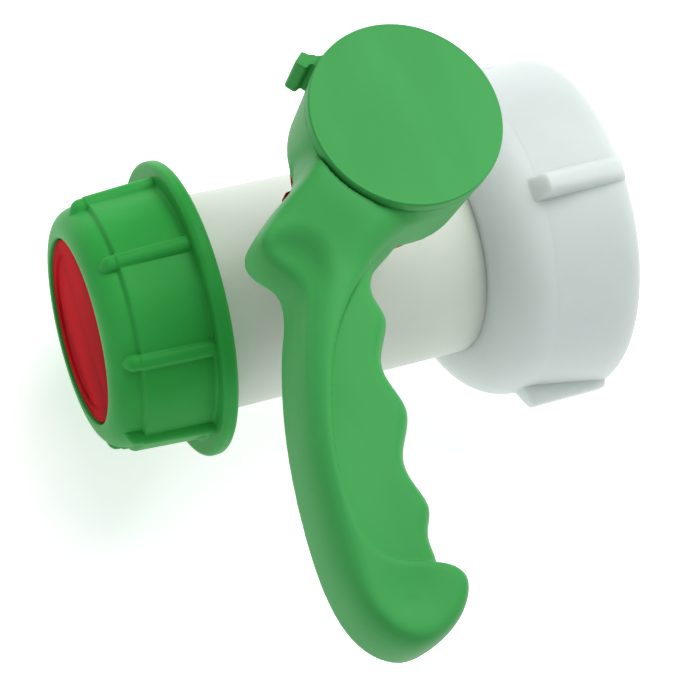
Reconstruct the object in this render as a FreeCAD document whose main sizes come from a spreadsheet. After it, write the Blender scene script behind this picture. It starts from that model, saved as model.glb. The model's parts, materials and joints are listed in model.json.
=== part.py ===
"""Outlet valve of an intermediate bulk container: a straight tube with a flap inside it, a lever on top,
a swivelling coupling nut at the tank end and a screwed cap with a red disc at the outlet.

Every piece is drawn about the point where the stem's axis meets the tube's axis: +X to the tank, +Z up the
stem, and the lever points to -Y with the flap closed. Each piece is then moved by the same step, so that
the finished part has its origin at the seat for the tank's spigot, in the coupling nut.
"""
import FreeCAD, Part
import Sketcher
import math
import os

Vector = FreeCAD.Vector

# Driving sizes, in millimetres, degrees or counts
SIZES = {
    # tube and bore
    "tube_radius": 30.0,
    "tube_wall": 6.0,
    "spigot_end": 50.0,
    "spigot_chamfer": 1.0,
    # neck over the tube
    "neck_radius": 14.0,
    "neck_rise": 30.0,
    "neck_top_radius": 13.0,
    "neck_top_height": 18.0,
    "neck_root_fillet": 4.0,
    "neck_flat_half": 11.5,
    # outlet thread and its cap
    "seat_gap": 0.05,
    "thread_lead_in": 1.0,
    "thread_pitch": 6.0,
    "thread_depth": 2.6,
    "thread_crest_drop": 0.2,
    "thread_turns": 2.6,
    "thread_root_width": 3.4,
    "thread_crest_width": 1.7,
    "thread_clearance": 0.6,
    "thread_relief_end": 37.0,
    "cap_back": 34.9,
    "cap_flange_width": 6.0,
    "cap_flange_thick": 4.2,
    "cap_wall": 4.6,
    "cap_nose_step": 0.8,
    "cap_nose_slope": 0.6,
    "cap_nose_start": 59.0,
    "cap_front": 65.4,
    "cap_lip_gap": 1.5,
    "cap_lip_land": 1.7,
    "cap_lip_thick": 2.7,
    "cap_nose_round": 7.4,
    "cap_edge_round": 1.4,
    "cap_thread_turns": 2.1,
    "rib_count": 9,
    "rib_radius": 1.7,
    "rib_sink": 0.4,
    "rib_lead": 85.5,
    "rib_front": 60.6,
    # red disc in the cap
    "disc_gap": 0.3,
    "disc_recess": 0.8,
    "disc_dish_margin": 3.0,
    "disc_dish_depth": 0.5,
    "disc_flange_width": 3.3,
    "disc_flange_thick": 2.2,
    "disc_skirt_depth": 5.0,
    "disc_skirt_wall": 2.4,
    "cap_gasket_thick": 2.0,
    # coupling nut
    "nut_back": 39.0,
    "nut_wall": 6.9,
    "nut_shoulder_x": 53.6,
    "nut_shoulder_round": 14.0,
    "nut_rim": 79.5,
    "nut_rim_wall": 6.0,
    "nut_rim_round": 1.6,
    "nut_seat_width": 3.5,
    "nut_bore_depth": 20.0,
    "nut_mouth_step": 5.1,
    "nut_hole_gap": 0.4,
    "lug_count": 4,
    "lug_lead": 96.0,
    "lug_width": 7.0,
    "lug_rise": 1.9,
    "lug_start": 50.4,
    "lug_heel": 4.6,
    "lug_end": 78.0,
    "lug_round": 1.6,
    # split ring that keeps the nut on the tube
    "ring_width": 3.6,
    "ring_groove_depth": 2.0,
    "ring_height": 4.6,
    "ring_gap_angle": 10.0,
    "ring_side_gap": 0.3,
    # gasket at the tank end
    "inlet_gasket_thick": 3.0,
    "inlet_gasket_overhang": 4.8,
    # spindle, its bearings and seals
    "spindle_radius": 7.0,
    "spindle_square": 9.8,
    "square_gap": 0.1,
    "running_gap": 0.05,
    "neck_bore_radius": 7.5,
    "neck_counterbore_radius": 10.0,
    "counterbore_depth": 10.0,
    "spindle_collar_radius": 9.6,
    "spindle_collar_thick": 5.0,
    "thrust_washer_thick": 1.2,
    "bush_flange_radius": 12.4,
    "bush_flange_thick": 2.0,
    "o_ring_section": 2.2,
    "o_ring_groove_width": 2.6,
    "o_ring_wall_gap": 0.06,
    "lower_o_ring_rise": 6.0,
    "o_ring_spacing": 7.0,
    "trunnion_radius": 4.8,
    "lower_bush_wall": 1.0,
    "pocket_skin": 1.8,
    "trunnion_gap": 0.3,
    # flap
    "flap_margin": 1.6,
    "flap_half_thick": 2.2,
    "flap_crown": 3.4,
    "flap_hub_radius": 9.4,
    "flap_hub_margin": 3.6,
    "seal_gap": 0.06,
    "seal_half_width": 2.4,
    "seal_groove_depth": 1.2,
    "seal_groove_half": 1.2,
    # stop ring under the hub
    "stop_ring_rim": 2.4,
    "stop_ring_thick": 5.6,
    "stop_shelf_thick": 1.6,
    "stop_tab_lead": 189.0,
    "stop_tab_width": 8.0,
    "stop_tab_thick": 3.0,
    "stop_tab_inset": 0.8,
    "stop_tab_round": 1.2,
    "stop_wall_gap": 0.8,
    "stop_wall_thick": 3.2,
    "stop_wall_height": 22.0,
    "stop_ring_fit": 0.1,
    "opening_angle": 90.0,
    "stop_key_angle": 22.0,
    "stop_end_gap": 1.0,
    "stop_key_lead": 20.0,
    # lever hub and lid
    "hub_lift": 15.2,
    "hub_base_radius": 22.36,
    "hub_flare": 0.74,
    "hub_height": 21.7,
    "hub_wall": 2.76,
    "hub_plate_lift": 8.8,
    "hub_plate_thick": 8.0,
    "lid_seat_width": 5.2,
    "lid_overhang": 0.1,
    "lid_thick": 3.1,
    "lid_bevel": 0.6,
    "lid_plug_gap": 0.05,
    "lid_plug_wall": 2.0,
    "lid_plug_depth": 3.6,
    # screw and washer under the lid
    "screw_radius": 3.0,
    "screw_length": 16.0,
    "screw_head_radius": 5.2,
    "screw_head_height": 2.8,
    "screw_socket_across": 5.0,
    "screw_socket_depth": 1.8,
    "washer_radius": 8.5,
    "washer_thick": 1.4,
    # lever grip
    "grip_lift": 0.6,
    "grip_height": 19.4,
    "web_inset": 1.6,
    "web_thick": 13.2,
    "grip_length": 115.0,
    "grip_round": 2.6,
    "web_round": 3.2,
    "scallop_depth": 1.7,
    "scallop_pitch": 22.2,
    "scallop_first_y": 42.6,
    "web_root_x": 18.3,
    "web_lean": 0.125,
    "beak_x": 42.3,
    "beak_y": 20.4,
    "thumb_radius": 16.0,
    "thumb_depth": 3.6,
    "thumb_x": 38.6,
    "thumb_y": 27.6,
    # lug on the hub, a fin with a coved side and a bead at its end
    "post_azimuth": 132.4,
    "post_overhang": 4.7,
    "post_width": 3.3,
    "post_lift": 9.8,
    "post_height": 11.0,
    "post_bead": 3.0,
    "post_recess": 1.7,
    "post_cove_angle": 21.4,
    "post_cove_sag": 1.25,
    "post_round": 0.7,
}

document = FreeCAD.newDocument("container_valve")
sheet = document.addObject("Spreadsheet::Sheet", "Sizes")
for row, (alias, value) in enumerate(SIZES.items(), start=1):
    sheet.set(f"A{row}", alias)
    sheet.set(f"B{row}", str(value))
    sheet.setAlias(f"B{row}", alias)
document.recompute()


class Size:
    """A cell of the sheet, or a sum worked out from cells: its expression and its value now."""

    def __init__(self, text, value):
        self.text = text
        self.value = value

    def __add__(self, other):
        other = as_size(other)
        return Size(f"({self.text} + {other.text})", self.value + other.value)

    def __radd__(self, other):
        return as_size(other) + self

    def __sub__(self, other):
        other = as_size(other)
        return Size(f"({self.text} - {other.text})", self.value - other.value)

    def __rsub__(self, other):
        return as_size(other) - self

    def __mul__(self, other):
        other = as_size(other)
        return Size(f"({self.text} * {other.text})", self.value * other.value)

    def __rmul__(self, other):
        return as_size(other) * self

    def __truediv__(self, other):
        other = as_size(other)
        return Size(f"({self.text} / {other.text})", self.value / other.value)

    def __neg__(self):
        return Size(f"(-1 * {self.text})", -self.value)

    def root(self):
        """The square root."""
        return Size(f"sqrt({self.text})", math.sqrt(self.value))


def as_size(number):
    """Turns a plain number into a Size, and leaves a Size as it is."""
    if isinstance(number, Size):
        return number
    return Size(f"({number})", float(number))


class Sheet:
    """Gives each cell of the sheet as a Size, by its alias."""

    def __getattr__(self, alias):
        return Size(f"Sizes.{alias}", float(sheet.get(alias)))


S = Sheet()


def origin_plane(body, role):
    """The body's own origin plane with this role, such as XZ_Plane."""
    return next(f for f in body.Origin.OriginFeatures if f.Role == role)


def new_body(label):
    """A body whose label names the piece and whose placement takes it to the part's frame."""
    body = document.addObject("PartDesign::Body", label)
    body.Label = label
    place(body)
    return body


def place(piece):
    """Moves a piece from the stem's axis to the part's origin, the seat for the tank's spigot."""
    piece.setExpression(".Placement.Base.x", f"-1 * {INLET_SEAT.text}")


def sketch_on(body, role, name, lift=None, turn=None):
    """A sketch on an origin plane, lifted along the plane's normal or turned about its own X axis."""
    sketch = body.newObject("Sketcher::SketchObject", name)
    sketch.AttachmentSupport = [(origin_plane(body, role), "")]
    sketch.MapMode = "FlatFace"
    if turn is not None:
        sketch.AttachmentOffset = FreeCAD.Placement(Vector(), FreeCAD.Rotation(Vector(1, 0, 0), turn.value))
        sketch.setExpression("AttachmentOffset.Rotation.Angle", turn.text)
    if lift is not None:
        sketch.setExpression("AttachmentOffset.Base.z", lift.text)
    return sketch


def bind(sketch, constraint, size):
    """Adds a constraint whose value follows the sheet."""
    index = sketch.addConstraint(constraint)
    sketch.setExpression(f"Constraints[{index}]", size.text)


def arc_between(start, end, radius, side):
    """The arc of a radius from start to end, with its centre to the left (1) or right (-1) of the way."""
    chord = end - start
    middle = (start + end) * 0.5
    reach = math.sqrt(max(radius**2 - (chord.Length / 2) ** 2, 0.0))
    centre = middle + Vector(-chord.y, chord.x, 0).normalize() * reach * side
    first = math.atan2(start.y - centre.y, start.x - centre.x)
    last = math.atan2(end.y - centre.y, end.x - centre.x)
    if side < 0:
        first, last = last, first
    circle = Part.Circle(centre, Vector(0, 0, 1), radius)
    return Part.ArcOfCircle(circle, first, last)


def outline(sketch, points):
    """A closed outline through the points, each held by its two distances from the origin.

    A point is (x, y), or (x, y, radius, side) where an arc leads to it from the point before.
    """
    places = [Vector(p[0].value, p[1].value, 0) for p in (tuple(map(as_size, q[:2])) for q in points)]
    ends = []
    for index, point in enumerate(points):
        start, end = places[index - 1], places[index]
        if len(point) == 4:
            radius, side = as_size(point[2]), point[3]
            geometry = sketch.addGeometry(arc_between(start, end, radius.value, side), False)
            bind(sketch, Sketcher.Constraint("Radius", geometry, radius.value), radius)
            ends.append((geometry, 1, 2) if side > 0 else (geometry, 2, 1))
        else:
            geometry = sketch.addGeometry(Part.LineSegment(start, end), False)
            ends.append((geometry, 1, 2))
    for index, point in enumerate(points):
        geometry, _, last = ends[index]
        following, first, _ = ends[(index + 1) % len(points)]
        sketch.addConstraint(Sketcher.Constraint("Coincident", geometry, last, following, first))
        across, up = as_size(point[0]), as_size(point[1])
        bind(sketch, Sketcher.Constraint("DistanceX", -1, 1, geometry, last, across.value), across)
        bind(sketch, Sketcher.Constraint("DistanceY", -1, 1, geometry, last, up.value), up)
    return sketch


def circle(sketch, across, up, radius):
    """A circle held by its centre and its radius."""
    across, up = as_size(across), as_size(up)
    centre = Vector(across.value, up.value, 0)
    geometry = sketch.addGeometry(Part.Circle(centre, Vector(0, 0, 1), radius.value), False)
    bind(sketch, Sketcher.Constraint("Radius", geometry, radius.value), radius)
    bind(sketch, Sketcher.Constraint("DistanceX", -1, 1, geometry, 3, across.value), across)
    bind(sketch, Sketcher.Constraint("DistanceY", -1, 1, geometry, 3, up.value), up)
    return sketch


def rectangle(sketch, left, low, right, high):
    """A rectangle between two corners."""
    return outline(sketch, [(left, low), (right, low), (right, high), (left, high)])


def flatted(sketch, radius, flat):
    """A circle about the origin with two flats, at this distance on either side."""
    rise = (radius * radius - flat * flat).root()
    corners = [(flat, rise), (-flat, rise, radius, 1), (-flat, -rise), (flat, -rise, radius, 1)]
    return outline(sketch, corners)


def fixed(sketch, corners):
    """A closed outline of straight sides that stays where it is drawn."""
    for index, corner in enumerate(corners):
        line = sketch.addGeometry(Part.LineSegment(corner, corners[(index + 1) % len(corners)]), False)
        sketch.addConstraint(Sketcher.Constraint("Block", line))
    return sketch


def sector(sketch, middle, half, reach):
    """A slice about the origin, from half an angle before its middle to half an angle after it."""
    corners = [Vector()]
    for step in (-1.0, -0.5, 0.5, 1.0):
        angle = math.radians(middle.value + half.value * step)
        corners.append(Vector(reach.value * math.cos(angle), reach.value * math.sin(angle), 0))
    return fixed(sketch, corners)


def rays(sketch, azimuth, start, end, half):
    """A rectangle that points away from the origin at an azimuth, half so wide on either side."""
    turn = FreeCAD.Rotation(Vector(0, 0, 1), azimuth.value)
    corners = [(start, -half), (end, -half), (end, half), (start, half)]
    return fixed(sketch, [turn.multVec(Vector(x.value, y.value, 0)) for x, y in corners])


def turned(body, sketch, axis, kind="Revolution", angle=None):
    """Adds (Revolution) or cuts (Groove) a full turn of a sketch about one of its axes."""
    feature = body.newObject(f"PartDesign::{kind}", f"{sketch.Name}_turned")
    feature.Profile = sketch
    feature.ReferenceAxis = (sketch, [axis])
    feature.Angle = 360.0
    if angle is not None:
        feature.setExpression("Angle", angle.text)
    return feature


def padded(body, sketch, length, reverse=False, middle=False):
    """Adds a sketch carried along its normal."""
    feature = body.newObject("PartDesign::Pad", f"{sketch.Name}_pad")
    feature.Profile = sketch
    feature.Reversed = reverse
    feature.Midplane = middle
    feature.setExpression("Length", as_size(length).text)
    return feature


def pocketed(body, sketch, length, reverse=False, middle=False):
    """Cuts a sketch carried against its normal, or along it where reversed."""
    feature = body.newObject("PartDesign::Pocket", f"{sketch.Name}_cut")
    feature.Profile = sketch
    feature.Reversed = reverse
    feature.Midplane = middle
    feature.setExpression("Length", as_size(length).text)
    return feature


def dressed(body, kind, base, size, chosen):
    """Rounds (Fillet) or bevels (Chamfer) the edges of a feature that the test picks."""
    document.recompute()
    names = [f"Edge{i}" for i, edge in enumerate(base.Shape.Edges, start=1) if chosen(edge)]
    if not names:
        raise RuntimeError(f"no edge of {base.Name} was found to dress")
    feature = body.newObject(f"PartDesign::{kind}", f"{base.Name}_{kind.lower()}")
    feature.Base = (base, names)
    feature.setExpression("Radius" if kind == "Fillet" else "Size", size.text)
    body.Tip = feature
    return feature


def ring_edge(x, radius):
    """A test for a full circle about the tube's axis, at x and of this radius."""

    def chosen(edge):
        curve = edge.Curve
        return (
            isinstance(curve, Part.Circle)
            and abs(abs(curve.Axis.x) - 1) < 1e-6
            and abs(curve.Center.x - x) < 1e-4
            and abs(curve.Radius - radius) < 1e-4
        )

    return chosen


def around(body, features, axis, count):
    """Repeats features evenly about an axis of the body's origin."""
    pattern = body.newObject("PartDesign::PolarPattern", f"{features[0].Name}_around")
    pattern.Originals = features
    pattern.Axis = (next(f for f in body.Origin.OriginFeatures if f.Role == axis), [""])
    pattern.Angle = 360.0
    pattern.setExpression("Occurrences", count.text)
    body.Tip = pattern
    return pattern


def helix(body, sketch, turns):
    """Adds a sketch wound about the tube's axis as a right-hand thread of the part's pitch."""
    feature = body.newObject("PartDesign::AdditiveHelix", f"{sketch.Name}_wound")
    feature.Profile = sketch
    feature.ReferenceAxis = (sketch, ["H_Axis"])
    feature.Mode = "pitch-turns-angle"
    feature.setExpression("Pitch", S.thread_pitch.text)
    feature.setExpression("Turns", turns.text)
    return feature


# Places that several pieces share, each worked out from the sizes that it follows
BORE_RADIUS = S.tube_radius - S.tube_wall
GASKET_START = S.spigot_end
INLET_SEAT = GASKET_START + S.inlet_gasket_thick
GASKET_RADIUS = S.tube_radius + S.inlet_gasket_overhang
RING_RADIUS = S.tube_radius + S.ring_height
GROOVE_START = S.spigot_end - S.ring_width * 1.5
NUT_SEAT = GROOVE_START - S.ring_side_gap
NUT_BORE_RADIUS = GASKET_RADIUS + S.nut_seat_width
NUT_MOUTH_RADIUS = NUT_BORE_RADIUS + S.nut_mouth_step
NUT_RIM_RADIUS = NUT_MOUTH_RADIUS + S.nut_rim_wall
NUT_SHOULDER_RADIUS = NUT_BORE_RADIUS + S.nut_wall
LUG_RADIUS = NUT_RIM_RADIUS + S.lug_rise
THREAD_CREST = S.tube_radius - S.thread_crest_drop
THREAD_ROOT = THREAD_CREST - S.thread_depth
CAP_INNER_RADIUS = THREAD_CREST + S.thread_clearance
CAP_CREST_RADIUS = THREAD_ROOT + S.thread_clearance
CAP_PANEL_RADIUS = CAP_INNER_RADIUS + S.cap_wall
CAP_NOSE_RADIUS = CAP_PANEL_RADIUS - S.cap_nose_step
CAP_FLANGE_RADIUS = CAP_PANEL_RADIUS + S.cap_flange_width
CAP_LIP_RADIUS = BORE_RADIUS + S.cap_lip_gap
CAP_LAND_RADIUS = CAP_LIP_RADIUS + S.cap_lip_land
CAP_FLANGE_FRONT = S.cap_back + S.cap_flange_thick
CAP_LIP_BACK = S.cap_front - S.cap_lip_thick
DISC_BACK = CAP_LIP_BACK - S.disc_flange_thick
DISC_FACE = S.cap_front - S.disc_recess
DISC_FLANGE_RADIUS = BORE_RADIUS + S.disc_flange_width
DISH_RADIUS = BORE_RADIUS - S.disc_dish_margin
SPOUT_END = DISC_BACK - S.cap_gasket_thick - S.seat_gap
NECK_SHOULDER = S.tube_radius + S.neck_rise
NECK_TOP = NECK_SHOULDER + S.neck_top_height
COUNTERBORE = NECK_SHOULDER - S.counterbore_depth
LOWER_O_RING = S.tube_radius + S.lower_o_ring_rise
UPPER_O_RING = LOWER_O_RING + S.o_ring_spacing
POCKET_FLOOR = S.tube_radius - S.pocket_skin
BUSH_BASE = COUNTERBORE + S.spindle_collar_thick + S.thrust_washer_thick + S.running_gap
BUSH_TOP = NECK_TOP + S.bush_flange_thick
SEAL_RADIUS = BORE_RADIUS - S.seal_gap
FLAP_RADIUS = BORE_RADIUS - S.flap_margin
SEAL_GROOVE_RADIUS = FLAP_RADIUS - S.seal_groove_depth
FLAP_HUB_HALF = BORE_RADIUS - S.flap_hub_margin
HUB_BASE = NECK_SHOULDER + S.hub_lift
HUB_PLATE = HUB_BASE + S.hub_plate_lift
HUB_PLATE_TOP = HUB_PLATE + S.hub_plate_thick
HUB_TOP = HUB_BASE + S.hub_height
HUB_TOP_RADIUS = S.hub_base_radius + S.hub_flare
HUB_CAVITY_RADIUS = S.hub_base_radius - S.hub_wall
LID_RECESS_RADIUS = HUB_TOP_RADIUS - S.lid_seat_width
LID_RADIUS = HUB_TOP_RADIUS + S.lid_overhang
LID_TOP = HUB_TOP + S.lid_thick
WASHER_TOP = HUB_PLATE_TOP + S.washer_thick
STOP_RING_RADIUS = S.neck_radius + S.stop_ring_rim
STOP_RING_TOP = NECK_SHOULDER + S.stop_ring_thick
STOP_WALL_OUTER = HUB_CAVITY_RADIUS - S.stop_wall_gap
STOP_WALL_INNER = STOP_WALL_OUTER - S.stop_wall_thick
STOP_TAB_REACH = S.hub_base_radius - S.stop_tab_inset
STOP_WALL_TOP = NECK_SHOULDER + S.stop_wall_height
GRIP_BASE = HUB_BASE + S.grip_lift
GRIP_TOP = GRIP_BASE + S.grip_height
WEB_BASE = GRIP_BASE + S.web_inset
WEB_TOP = WEB_BASE + S.web_thick
POST_REACH = HUB_TOP_RADIUS + S.post_overhang
POST_BASE = HUB_BASE + S.post_lift

# The grip's outline was drawn for this length; its root stays in place when the length changes
GRIP_DRAWN = 115.0
GRIP_ROOT_END = 30.5
WEB_END = 18.0

# An edge counts as flat, or as lying at a place, within this much
FLAT_EDGE = 0.01


def thread_section(sketch, root, crest, start, inward):
    """The blunt saw-tooth section of one thread turn, its root sunk a little into the wall behind it."""
    bite = -0.4 if inward else 0.4
    half_root = S.thread_root_width / 2
    half_crest = S.thread_crest_width / 2
    middle = start + half_root
    return outline(
        sketch,
        [
            (middle - half_root, root - bite),
            (middle + half_root, root - bite),
            (middle + half_crest, crest),
            (middle - half_crest, crest),
        ],
    )


def make_valve_body():
    """One moulding: tube, threaded spout, ring groove at the tank end and the neck for the spindle."""
    body = new_body("valve_body")
    profile = outline(
        sketch_on(body, "XZ_Plane", "tube_profile"),
        [
            (-SPOUT_END, BORE_RADIUS + 0.8),
            (-SPOUT_END + 0.8, BORE_RADIUS),
            (S.spigot_end - S.spigot_chamfer, BORE_RADIUS),
            (S.spigot_end, BORE_RADIUS + S.spigot_chamfer),
            (S.spigot_end, S.tube_radius - S.spigot_chamfer),
            (S.spigot_end - S.spigot_chamfer, S.tube_radius),
            (GROOVE_START + S.ring_width, S.tube_radius),
            (GROOVE_START + S.ring_width, S.tube_radius - S.ring_groove_depth),
            (GROOVE_START, S.tube_radius - S.ring_groove_depth),
            (GROOVE_START, S.tube_radius),
            (-S.thread_relief_end, S.tube_radius),
            (-S.thread_relief_end - 1.0, THREAD_ROOT),
            (-SPOUT_END + 0.6, THREAD_ROOT),
            (-SPOUT_END, THREAD_ROOT - 0.6),
        ],
    )
    turned(body, profile, "H_Axis")
    lower = circle(sketch_on(body, "XY_Plane", "neck_plan", lift=BORE_RADIUS), 0, 0, S.neck_radius)
    neck = padded(body, lower, NECK_SHOULDER - BORE_RADIUS)

    def neck_root(edge):
        """The edge where the neck's round side meets the tube's: each of its points lies on both."""
        points = edge.discretize(5)
        on_neck = all(abs(math.hypot(p.x, p.y) - S.neck_radius.value) < 0.01 for p in points)
        return on_neck and all(abs(math.hypot(p.y, p.z) - S.tube_radius.value) < 0.01 for p in points)

    dressed(body, "Fillet", neck, S.neck_root_fillet, neck_root)
    upper = sketch_on(body, "XY_Plane", "neck_top_plan", lift=NECK_SHOULDER)
    flatted(upper, S.neck_top_radius, S.neck_flat_half)
    padded(body, upper, NECK_TOP - NECK_SHOULDER)
    hole = outline(
        sketch_on(body, "XZ_Plane", "neck_hole"),
        [
            (0, BORE_RADIUS / 2),
            (S.neck_bore_radius, BORE_RADIUS / 2),
            (S.neck_bore_radius, COUNTERBORE),
            (S.neck_counterbore_radius, COUNTERBORE),
            (S.neck_counterbore_radius, NECK_TOP + 1.0),
            (0, NECK_TOP + 1.0),
        ],
    )
    turned(body, hole, "V_Axis", "Groove")
    pocket_radius = S.trunnion_radius + S.running_gap + S.lower_bush_wall
    pocket = rectangle(
        sketch_on(body, "XZ_Plane", "lower_pocket"), 0, -POCKET_FLOOR, pocket_radius, -BORE_RADIUS / 2
    )
    turned(body, pocket, "V_Axis", "Groove")
    tooth = thread_section(
        sketch_on(body, "XZ_Plane", "outlet_thread"),
        THREAD_ROOT,
        THREAD_CREST,
        -SPOUT_END + S.thread_lead_in,
        inward=False,
    )
    helix(body, tooth, S.thread_turns)
    return body


def make_retaining_ring():
    """Split ring in the tube's groove: the coupling nut's inner shoulder pulls against it."""
    body = new_body("retaining_ring")
    section = rectangle(
        sketch_on(body, "XZ_Plane", "ring_section", turn=S.ring_gap_angle / 2 - 90),
        GROOVE_START + 0.05,
        S.tube_radius - S.ring_groove_depth,
        GROOVE_START + S.ring_width - 0.05,
        RING_RADIUS,
    )
    turned(body, section, "H_Axis", angle=360 - S.ring_gap_angle)
    return body


def make_inlet_gasket():
    """Flat rubber ring that the tank's spigot is pressed against."""
    body = new_body("inlet_gasket")
    section = rectangle(
        sketch_on(body, "XZ_Plane", "gasket_section"),
        GASKET_START,
        BORE_RADIUS + S.spigot_chamfer,
        INLET_SEAT,
        GASKET_RADIUS,
    )
    turned(body, section, "H_Axis")
    return body


def make_coupling_nut():
    """Swivelling nut: round shoulder, flared skirt with long lugs for a spanner, and a plain bore."""
    body = new_body("coupling_nut")
    bore_end = INLET_SEAT + S.nut_bore_depth
    profile = outline(
        sketch_on(body, "XZ_Plane", "nut_profile"),
        [
            (S.nut_back, S.tube_radius + S.nut_hole_gap),
            (NUT_SEAT, S.tube_radius + S.nut_hole_gap),
            (NUT_SEAT, GASKET_RADIUS + S.nut_hole_gap),
            (INLET_SEAT, GASKET_RADIUS + S.nut_hole_gap),
            (INLET_SEAT, NUT_BORE_RADIUS),
            (bore_end, NUT_BORE_RADIUS),
            (S.nut_rim, NUT_MOUTH_RADIUS),
            (S.nut_rim, NUT_RIM_RADIUS),
            (S.nut_shoulder_x, NUT_SHOULDER_RADIUS),
            (
                S.nut_shoulder_x - S.nut_shoulder_round,
                NUT_SHOULDER_RADIUS - S.nut_shoulder_round,
                S.nut_shoulder_round,
                1,
            ),
            (S.nut_back, NUT_SHOULDER_RADIUS - S.nut_shoulder_round),
        ],
    )
    shell = turned(body, profile, "H_Axis")
    dressed(
        body, "Fillet", shell, S.nut_rim_round, ring_edge(S.nut_rim.value, NUT_RIM_RADIUS.value)
    )
    inner = (NUT_BORE_RADIUS + NUT_SHOULDER_RADIUS) / 2
    lug = outline(
        sketch_on(body, "XZ_Plane", "nut_lug", turn=S.lug_lead - 90),
        [
            (S.lug_start, inner),
            (S.lug_end, inner + 1.5),
            (S.lug_end, LUG_RADIUS),
            (S.lug_start + S.lug_heel, LUG_RADIUS),
            (S.lug_start, NUT_SHOULDER_RADIUS - 1.5),
        ],
    )
    rib = padded(body, lug, S.lug_width, middle=True)
    lugs = around(body, [rib], "X_Axis", S.lug_count)
    crown, heel = LUG_RADIUS.value, (S.lug_start + S.lug_heel).value
    corner = math.hypot(crown, S.lug_width.value / 2)

    def lug_rim(edge):
        """An edge along a lug's crown or across its two ends."""
        ends = [vertex.Point for vertex in edge.Vertexes]
        high = [abs(math.hypot(p.y, p.z) - corner) < 1e-3 for p in ends]
        ahead = all(p.x > heel - 1e-3 for p in ends)
        return len(ends) == 2 and all(high) and ahead

    dressed(body, "Fillet", lugs, S.lug_round, lug_rim)
    return body


def make_lower_bush():
    """Plastic bush in the tube's floor for the spindle's lower end."""
    body = new_body("lower_bush")
    section = rectangle(
        sketch_on(body, "XZ_Plane", "lower_bush_section"),
        S.trunnion_radius + S.running_gap,
        -POCKET_FLOOR,
        S.trunnion_radius + S.running_gap + S.lower_bush_wall,
        -BORE_RADIUS - 0.1,
    )
    turned(body, section, "V_Axis")
    return body


def make_stem_bush():
    """Flanged bush pressed into the neck: it guides the spindle and keeps its collar down."""
    body = new_body("stem_bush")
    section = outline(
        sketch_on(body, "XZ_Plane", "stem_bush_section"),
        [
            (S.spindle_radius + S.running_gap, BUSH_BASE),
            (S.neck_counterbore_radius, BUSH_BASE),
            (S.neck_counterbore_radius, NECK_TOP),
            (S.bush_flange_radius, NECK_TOP),
            (S.bush_flange_radius, BUSH_TOP),
            (S.spindle_radius + S.running_gap, BUSH_TOP),
        ],
    )
    turned(body, section, "V_Axis")
    return body


def make_stop_ring():
    """Red ring on the neck's flats: a finger tab, and a C-shaped wall that stops the lever's quarter turn."""
    body = new_body("stop_ring")
    profile = outline(
        sketch_on(body, "XZ_Plane", "stop_profile"),
        [
            (0, NECK_SHOULDER),
            (STOP_RING_RADIUS, NECK_SHOULDER),
            (STOP_RING_RADIUS, STOP_RING_TOP - S.stop_shelf_thick),
            (STOP_WALL_OUTER, STOP_RING_TOP - S.stop_shelf_thick),
            (STOP_WALL_OUTER, STOP_WALL_TOP),
            (STOP_WALL_INNER, STOP_WALL_TOP),
            (STOP_WALL_INNER, STOP_RING_TOP),
            (0, STOP_RING_TOP),
        ],
    )
    turned(body, profile, "V_Axis")
    half = (S.opening_angle + S.stop_key_angle + S.stop_end_gap * 2) / 2
    middle = S.stop_key_lead - S.opening_angle / 2
    sector(sketch_on(body, "XY_Plane", "stop_gap", lift=STOP_RING_TOP), middle, half, STOP_WALL_OUTER * 2)
    pocketed(body, document.getObject("stop_gap"), STOP_WALL_TOP - NECK_SHOULDER, reverse=True)
    tab = sketch_on(body, "XY_Plane", "stop_tab", lift=STOP_RING_TOP - S.stop_tab_thick)
    rays(tab, S.stop_tab_lead, S.neck_radius, STOP_TAB_REACH, S.stop_tab_width / 2)
    finger = padded(body, tab, S.stop_tab_thick)

    def tab_corner(edge):
        """The tab's two upright edges at its end."""
        box = edge.BoundBox
        upright = box.ZLength > 0.5 and math.hypot(box.XLength, box.YLength) < 1e-4
        return upright and math.hypot(box.XMin, box.YMin) > STOP_TAB_REACH.value

    dressed(body, "Fillet", finger, S.stop_tab_round, tab_corner)
    hole = sketch_on(body, "XY_Plane", "stop_hole", lift=NECK_SHOULDER)
    flatted(hole, S.neck_top_radius + S.stop_ring_fit, S.neck_flat_half + S.stop_ring_fit)
    pocketed(body, hole, S.stop_ring_thick * 2, reverse=True)
    return body


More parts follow.
